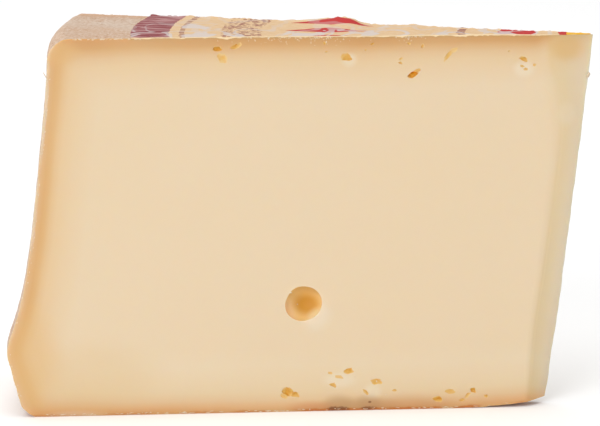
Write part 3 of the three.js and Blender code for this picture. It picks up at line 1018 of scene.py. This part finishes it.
class CHEESE_OT_make_wedge(bpy.types.Operator):
    """Make the wedge: rind, cuts, eyes and cracks"""

    bl_idname = "cheese.make_wedge"
    bl_label = "Make Wedge"

    CELLS = (190, 50, 104)  # along, across and up the wedge
    PULL = 0.78  # how far the cells are drawn to the edges
    CUBE_FACE = 0.499  # what lies farther out is on a face of the unit cube
    SHARP = math.radians(25)
    RIND_LUMPS = ((0.10, 2.6), (0.08, 0.9))  # height and pitch in millimetres
    LUMPS_UNDER_LABEL = 0.15  # share of their height that the lumps keep under the paper
    KNIFE_WAVES = 0.05  # height of the waves on the cuts in millimetres
    KNIFE_PITCH, KNIFE_PITCH_UP = 26, 9  # their pitch along the cuts and up them
    BACK_CRACKS = 26
    SLIVER = 0.003 * MM  # edges shorter than this, left where holes were cut, are closed up
    # Finish, fineness, jitter and middle of the ball that cuts a hole
    EYE_BALL = (EYE_WALL, 4, 0, EYE_SUNK)
    CRACK_BALL = (CRACK_WALL, 1, 0.38, CRACK_SUNK)
    GUIDES = ("depth_mm", "heel_share", "heel_mm", "base_mm", "sunk_mm", "nose_share", "nose_across")

    def execute(self, context):
        sizes, colours = context.scene.cheese_sizes, context.scene.cheese_colours
        wedge = Wedge(sizes)
        draw = random.Random(sizes.seed)
        bm = bmesh.new()
        lattice_block(bm, *self.CELLS)
        for face in bm.faces:
            middle = face.calc_center_median()
            is_rind = middle.x < -self.CUBE_FACE or abs(middle.z) > self.CUBE_FACE
            face.material_index = RIND if is_rind else PASTE
        for vert in bm.verts:
            shares = [bunched(value + 0.5, self.PULL) for value in vert.co]
            vert.co = wedge.point(*shares)
        self.roughen(bm, wedge)
        finishes = [
            paste_finish(colours, wedge),
            rind_finish(colours),
            eye_finish(colours, wedge),
            crack_finish(colours, wedge),
        ]
        body = new_piece("cheese_wedge", bm, finishes, ["cheese"])
        back_cracks = self.back_cracks(sizes, draw)
        for side, eyes, cracks in ((FRONT, [EYE], FRONT_CRACKS), (BACK, BACK_EYES, back_cracks)):
            cut_holes(body, self.cutter(wedge, side, eyes, draw, self.EYE_BALL, finishes))
            for group in apart(cracks):
                cut_holes(body, self.cutter(wedge, side, group, draw, self.CRACK_BALL, finishes))
        self.finish_mesh(body, wedge)
        return {"FINISHED"}

    def roughen(self, bm, wedge):
        """Gives the rind its unevenness and the cuts a knife's faint waves."""
        bm.normal_update()
        moves = {}
        for vert in bm.verts:
            faces = vert.link_faces
            rind = sum((face.normal for face in faces if face.material_index == RIND), Vector())
            cut = sum((face.normal for face in faces if face.material_index == PASTE), Vector())
            spot = vert.co
            if rind.length:
                lumps = sum(high * noise.noise(spot / (pitch * MM)) for high, pitch in self.RIND_LUMPS)
                kept = self.LUMPS_UNDER_LABEL if wedge.is_under_label(spot) else 1
                moves[vert] = rind.normalized() * lumps * MM * kept
            elif cut.length:
                along, up = self.KNIFE_PITCH, self.KNIFE_PITCH_UP
                waves = noise.noise(Vector((spot.x / along, spot.y / along, spot.z / up)) / MM)
                moves[vert] = cut.normalized() * (self.KNIFE_WAVES * waves) * MM
        for vert, move in moves.items():
            vert.co += move
        for vert in bm.verts:
            vert.co.z = max(vert.co.z, 0)

    def back_cracks(self, sizes, draw):
        """Cracks near the rind of the back cut."""
        cracks = []
        for _ in range(self.BACK_CRACKS):
            wide = draw.uniform(0.6, 2.4)
            from_rind = draw.uniform(2.2, 7)
            up = from_rind if draw.random() < 0.5 else sizes.height / MM - from_rind
            tall, deep = wide * draw.uniform(0.5, 0.9), wide * draw.uniform(0.14, 0.25)
            cracks.append((draw.uniform(18, 104), up, wide, tall, deep, draw.uniform(-50, 50)))
        return cracks

    def cutter(self, wedge, side, holes, draw, ball, finishes):
        """One object with the shapes of some holes."""
        bm = bmesh.new()
        for hole in holes:
            hole_shape(bm, wedge, side, hole, draw, *ball)
        return add_object("hole_cutter", mesh_of("hole_cutter", bm, finishes))

    def finish_mesh(self, body, wedge):
        """Closes up slivers, shades the mesh and stores what the finishes go by."""
        bm = bmesh.new()
        bm.from_mesh(body.data)
        bmesh.ops.triangulate(bm, faces=[face for face in bm.faces if len(face.verts) > 4])
        bmesh.ops.dissolve_degenerate(bm, dist=self.SLIVER, edges=bm.edges[:])
        shade(bm, self.SHARP)
        layers = [bm.verts.layers.float.new(name) for name in self.GUIDES]
        for vert in bm.verts:
            for layer, value in zip(layers, self.colour_guides(wedge, vert.co)):
                vert[layer] = value
        bm.to_mesh(body.data)
        bm.free()

    def colour_guides(self, wedge, point):
        """What the finishes go by, in the order of GUIDES: depths are in millimetres."""
        top, base, heel = (max(value, 0) / MM for value in wedge.depths(point))
        sunk, past_edge, across = wedge.cut_depths(point)
        past_edge /= MM
        height = within(point.z / wedge.sizes.height, 0, 1)
        out = (point - wedge.axis).to_2d().length / MM
        # The front edge of the nose is softest at four fifths of the height
        on_nose = smooth_step(past_edge, 0.7 + 1.8 * hump(height, 0.8, 0.1))
        # The dry band is broader at the belly and in the corners of the heel
        broad = 1 + 0.12 * hump(height, 0.17, 0.2)
        top_corner = 0.4 * math.exp(-(heel**2 + top**2) / 120)
        foot_corner = 0.5 * math.exp(-((heel / 20) ** 2) - base**2 / 60)
        # It is narrower under the top near the axis and on the nose, and above the foot, where the
        # narrowing is painted light that lifts the shade falling near the floor
        drier = 0.9 * max(0, 1 - out / 50) + 2.6 * smooth_step(past_edge - 0.5, 3.5)
        paler = 0.6 + 0.006 * out + 0.9 * max(0, 1 - out / 30) + on_nose * (0.2 + 2 * across)
        weights = [math.exp(-reach) for reach in (top + drier, base + paler, heel / broad)]
        near = max(0, -math.log(sum(weights))) / (1 + (top_corner + foot_corner))
        return near, weights[2] / sum(weights), heel, base, sunk / MM, on_nose, across


class CHEESE_OT_make_label(bpy.types.Operator):
    """Make the worn paper label on the top rind"""

    bl_idname = "cheese.make_label"
    bl_label = "Make Label"

    CELLS = (220, 46)  # along and across the paper
    PULL = 0.7  # how far the cells are drawn to the cuts
    NOSE_GAP = 0.5 * MM  # bare rind between the paper and the nose
    NOSE_REACH = 14 * MM  # stretch beside the nose where the paper lies flat
    SHARP = math.radians(50)

    def execute(self, context):
        sizes, colours = context.scene.cheese_sizes, context.scene.cheese_colours
        wedge = Wedge(sizes)
        bm = bmesh.new()
        bmesh.ops.create_grid(bm, x_segments=self.CELLS[0], y_segments=self.CELLS[1], size=0.5)
        for vert in bm.verts:
            along, across = 0.5 - vert.co.x, bunched(vert.co.y + 0.5, self.PULL)
            turn = lerp(-wedge.half_angle, wedge.half_angle, across)
            inner = wedge.nose(sizes.height, turn) + self.NOSE_GAP
            vert.co = wedge.soften(self.paper_point(wedge, lerp(sizes.label, inner, 1 - along), turn))
        sheet = bm.faces[:]
        made = bmesh.ops.extrude_face_region(bm, geom=sheet, use_keep_orig=True)["geom"]
        upper = [v for v in made if isinstance(v, bmesh.types.BMVert)]
        bmesh.ops.translate(bm, verts=upper, vec=(0, 0, sizes.paper))
        bmesh.ops.recalc_face_normals(bm, faces=bm.faces[:])
        shade(bm, self.SHARP)
        edge = bm.verts.layers.float.new("edge_mm")
        for vert in bm.verts:
            flat = vert.co - wedge.axis
            front_turn = math.atan2(flat.y, -flat.x) + wedge.half_angle
            vert[edge] = max(0, flat.to_2d().length * math.sin(front_turn) / MM)
        new_piece("paper_label", bm, [label_finish(colours, wedge.axis)], ["label"])
        return {"FINISHED"}

    def paper_point(self, wedge, out, turn):
        """A point under the paper: on the rind, a little wrinkled, ragged at both cuts. Heights and
        pitches are in millimetres."""
        spot = wedge.place(out, 0, turn)

        def bumps(pitch):
            return noise.noise(spot / (pitch * MM))

        ragged = 0.12 * bumps(0.7) + 0.08 * bumps(2.9)
        to_edge = abs(turn) / wedge.half_angle
        turn += math.copysign(ragged * MM * to_edge**40 / out, turn)
        to_front, to_back = max(0, -turn / wedge.half_angle), max(0, turn / wedge.half_angle) ** 6
        loose = within((out - wedge.nose(wedge.sizes.height, turn)) / self.NOSE_REACH, 0, 1)
        wrinkle = abs(noise.noise(Vector((spot.x / 5.5, spot.y / 2.3, 0)) / MM))
        waves = (0.14 + 0.2 * to_back) * wrinkle * (1 - to_front**12)
        tatter = 0.35 * to_back**3 * abs(bumps(1.6))
        lift = (0.05 + waves + tatter) * loose**0.5 - 0.02
        frayed = max(0, bumps(3.1)) + 0.6 * max(0, bumps(0.9))
        hang = to_front**60 * frayed * loose
        up = wedge.top(out, turn) + (lift - 0.35 * hang) * MM
        return wedge.place(out, up, turn - 0.1 * hang * MM / out)


class CHEESE_OT_make_shreds(bpy.types.Operator):
    """Make the torn fibres, flakes and crumbs along the cut edges"""

    bl_idname = "cheese.make_shreds"
    bl_label = "Make Shreds"

    # Kinds of flakes: number on a cut, range of widths, thickness and range of heights in millimetres,
    # range of tilts
    TUFT = (110, (0.08, 0.24), 0.07, (0.15, 0.6), (-0.9, 0.9))
    CHIP = (40, (0.3, 0.9), 0.12, (0.1, 0.25), (-0.3, 0.3))
    HEEL_FLECK = (60, (0.1, 0.25), 0.08, (0.15, 0.5), (-0.5, 0.5))
    SCUFF_FLECK = (16, (0.12, 0.3), 0.07, (0.25, 0.8), (-0.5, 0.3))
    BASE_FLECK = (90, (0.2, 1.1), 0.08, (0.08, 0.2), (-0.2, 0.2))
    SPECK = (16, (0.1, 0.25), 0.05, (0.1, 0.22), (-1, 1))
    TUFT_PLACES = 9
    CRUMB_THICK = 0.15
    # The crumb on the nose and the hair on the heel: width, thickness, height and tilt
    NOSE_CRUMB, NOSE_CRUMB_TILT = (0.9, 0.8, 1.7), 0.3
    HAIR, HAIR_TILT = (0.2, 0.15, 2.0), -0.5
    HAIR_UP = 71 * MM
    HAIR_OFF = 0.45 * MM  # how far the hair stands off the heel
    UNEVEN = 0.35  # how far a flake's corners are pushed in and out, as a share of its size
    SHARP = math.radians(60)

    def execute(self, context):
        sizes, colours = context.scene.cheese_sizes, context.scene.cheese_colours
        wedge = Wedge(sizes)
        draw = random.Random(sizes.seed + 1)
        bm = bmesh.new()
        for side in (FRONT, BACK):
            self.under_label(bm, wedge, side, draw)
            self.along_heel(bm, wedge, side, draw)
            self.along_base(bm, wedge, side, draw)
            self.specks(bm, wedge, side, draw)
        self.placed_crumbs(bm, wedge, draw)
        shade(bm, self.SHARP)
        new_piece("shreds", bm, [shred_finish(colours)])
        return {"FINISHED"}

    def flake_at(self, bm, spot, turn, size, tilt, draw):
        """One torn flake, turned as a cut, size in millimetres: width, thickness, height."""
        verts = bmesh.ops.create_icosphere(bm, subdivisions=1, radius=0.5)["verts"]
        for vert in verts:
            vert.co *= 1 + self.UNEVEN * draw.uniform(-1, 1)
        facing = Matrix.Rotation(-turn, 4, "Z")
        lean = Matrix.Rotation(tilt, 4, "Y")
        shape = Matrix.Translation(spot) @ facing @ lean @ Matrix.Diagonal((*(s * MM for s in size), 1))
        bmesh.ops.transform(bm, verts=verts, matrix=shape)

    def flake(self, bm, wedge, side, out, up, kind, draw, longer=1):
        """One torn flake of a kind that lies on a cut."""
        _, wide, thick, tall, tilt = kind
        turn = side * wedge.half_angle
        size = (draw.uniform(*wide), thick, draw.uniform(*tall) * longer)
        self.flake_at(bm, wedge.place(out, up, turn), turn, size, draw.uniform(*tilt), draw)

    def placed_crumbs(self, bm, wedge, draw):
        """The crumbs on the front cut, one on the nose's back edge and a hair on the heel."""
        for *spot, wide, tall, tilt in CRUMBS:
            place, _, _ = wedge.front_spot((spot[0], spot[1], 0, 0, spot[2]))
            size = (wide, self.CRUMB_THICK, tall)
            self.flake_at(bm, place, -wedge.half_angle, size, math.radians(tilt), draw)
        up, turn = self.HAIR_UP, wedge.half_angle
        edge = wedge.place(wedge.nose(up, turn), up, turn)
        self.flake_at(bm, edge, turn, self.NOSE_CRUMB, self.NOSE_CRUMB_TILT, draw)
        hair = wedge.place(wedge.wall(up) + self.HAIR_OFF, up, -turn / 2)
        self.flake_at(bm, hair, -turn, self.HAIR, self.HAIR_TILT, draw)

    def under_label(self, bm, wedge, side, draw):
        """Torn paper and rind that hangs from the top edge."""
        tufts = [draw.triangular(12, 104, 58) for _ in range(self.TUFT_PLACES)]
        for _ in range(self.TUFT[0]):
            out = (draw.choice(tufts) + draw.gauss(0, 3)) * MM
            drop = draw.random() ** 3 * 1.8
            up = wedge.top(out, side * wedge.half_angle) - (0.05 + drop) * MM
            self.flake(bm, wedge, side, out, up, self.TUFT, draw, 1.3 - drop / 2)
        for _ in range(self.CHIP[0]):
            out = draw.uniform(96, 110) * MM
            up = wedge.top(out, side * wedge.half_angle) - draw.uniform(0, 0.25) * MM
            self.flake(bm, wedge, side, out, up, self.CHIP, draw)

    def along_heel(self, bm, wedge, side, draw):
        """Flecks of dry rind beside the heel, more of them where it is scuffed."""
        for _ in range(self.HEEL_FLECK[0]):
            up = draw.uniform(3, 73) * MM
            out = wedge.wall(up) - draw.random() ** 2 * 0.8 * MM
            self.flake(bm, wedge, side, out, up, self.HEEL_FLECK, draw)
        for _, middle, _, spread in SCUFFS:
            for _ in range(self.SCUFF_FLECK[0]):
                up = draw.gauss(middle, spread / 2) * MM
                out = wedge.wall(up) - draw.random() ** 2 * 0.7 * MM
                self.flake(bm, wedge, side, out, up, self.SCUFF_FLECK, draw)

    def along_base(self, bm, wedge, side, draw):
        """Flecks of dry rind beside the foot."""
        for _ in range(self.BASE_FLECK[0]):
            out = draw.uniform(18, 117) * MM
            up = wedge.underside(out) + draw.uniform(0.15, 0.5) * MM
            self.flake(bm, wedge, side, out, up, self.BASE_FLECK, draw)

    def specks(self, bm, wedge, side, draw):
        """Loose crumbs on the paste."""
        for _ in range(self.SPECK[0]):
            out, up = draw.uniform(18, 108) * MM, draw.uniform(4, 74) * MM
            self.flake(bm, wedge, side, out, up, self.SPECK, draw)


class CHEESE_OT_make_stage(bpy.types.Operator):
    """Make the floor, the lights and the camera"""

    bl_idname = "cheese.make_stage"
    bl_label = "Make Stage"

    # The camera looks at the target; places and sizes are in metres, the lens and sensor in millimetres
    TARGET = Vector((0.1 * MM, 0, 40.57 * MM))
    DISTANCE = 0.9
    AZIMUTH, ELEVATION = math.radians(5.0), math.radians(11.15)
    LENS, SENSOR = 254.8, 36.0
    # Soft round lights: name, place, size and power
    LIGHTS = (
        ("overhead", (-0.2, -0.1, 1.6), 2.4, 22),
        ("front", (-1.1, -2.5, 1.0), 1.8, 37),
        ("side", (-1.4, -0.2, 0.5), 1.0, 1.5),
    )
    SKY = 0.5
    FLOOR_CELLS, FLOOR_REACH = 8, 4

    def execute(self, context):
        scene = context.scene
        bm = bmesh.new()
        cells = self.FLOOR_CELLS
        bmesh.ops.create_grid(bm, x_segments=cells, y_segments=cells, size=self.FLOOR_REACH)
        floor = add_object("floor", mesh_of("floor", bm, [floor_finish()]))
        for light in self.LIGHTS:
            self.light(*light)
        self.world(scene)
        self.camera(scene)
        scene.view_settings.view_transform = "Standard"
        return {"FINISHED"}

    def aim(self, thing, place):
        thing.location = place
        thing.rotation_euler = (self.TARGET - Vector(place)).to_track_quat("-Z", "Y").to_euler()

    def light(self, name, place, size, power):
        lamp = bpy.data.lights.new(name, "AREA")
        lamp.shape = "DISK"
        lamp.size = size
        lamp.energy = power
        self.aim(add_object(name, lamp), place)

    def world(self, scene):
        world = bpy.data.worlds.new("studio")
        world.use_nodes = True
        sky = world.node_tree.nodes["Background"]
        sky.inputs["Color"].default_value = (1, 1, 1, 1)
        sky.inputs["Strength"].default_value = self.SKY
        scene.world = world

    def camera(self, scene):
        eye = bpy.data.cameras.new("camera")
        eye.lens = self.LENS
        eye.sensor_width = self.SENSOR
        eye.sensor_fit = "HORIZONTAL"
        level = math.cos(self.ELEVATION)
        back = Vector((math.sin(self.AZIMUTH) * level, -math.cos(self.AZIMUTH) * level, 0))
        back.z = math.sin(self.ELEVATION)
        scene.camera = add_object("camera", eye)
        self.aim(scene.camera, self.TARGET + back * self.DISTANCE)


class CHEESE_PT_panel(bpy.types.Panel):
    """Lists the steps and the sizes and colours that they use"""

    bl_label = "Cheese Wedge"
    bl_space_type = "VIEW_3D"
    bl_region_type = "UI"
    bl_category = "Cheese"

    def draw(self, context):
        for step in STEPS:
            self.layout.operator(step.bl_idname)
        for group in (context.scene.cheese_sizes, context.scene.cheese_colours):
            box = self.layout.box()
            for name in group.__annotations__:
                box.prop(group, name)


STEPS = (CHEESE_OT_make_wedge, CHEESE_OT_make_label, CHEESE_OT_make_shreds, CHEESE_OT_make_stage)
CLASSES = (CheeseSizes, CheeseColours, *STEPS, CHEESE_PT_panel)


def register():
    for cls in CLASSES:
        bpy.utils.register_class(cls)
    bpy.types.Scene.cheese_sizes = PointerProperty(type=CheeseSizes)
    bpy.types.Scene.cheese_colours = PointerProperty(type=CheeseColours)


def unregister():
    del bpy.types.Scene.cheese_colours
    del bpy.types.Scene.cheese_sizes
    for cls in reversed(CLASSES):
        bpy.utils.unregister_class(cls)


def main():
    register()
    bpy.ops.cheese.make_wedge()
    bpy.ops.cheese.make_label()
    bpy.ops.cheese.make_shreds()
    bpy.ops.cheese.make_stage()


if __name__ == "__main__":
    main()
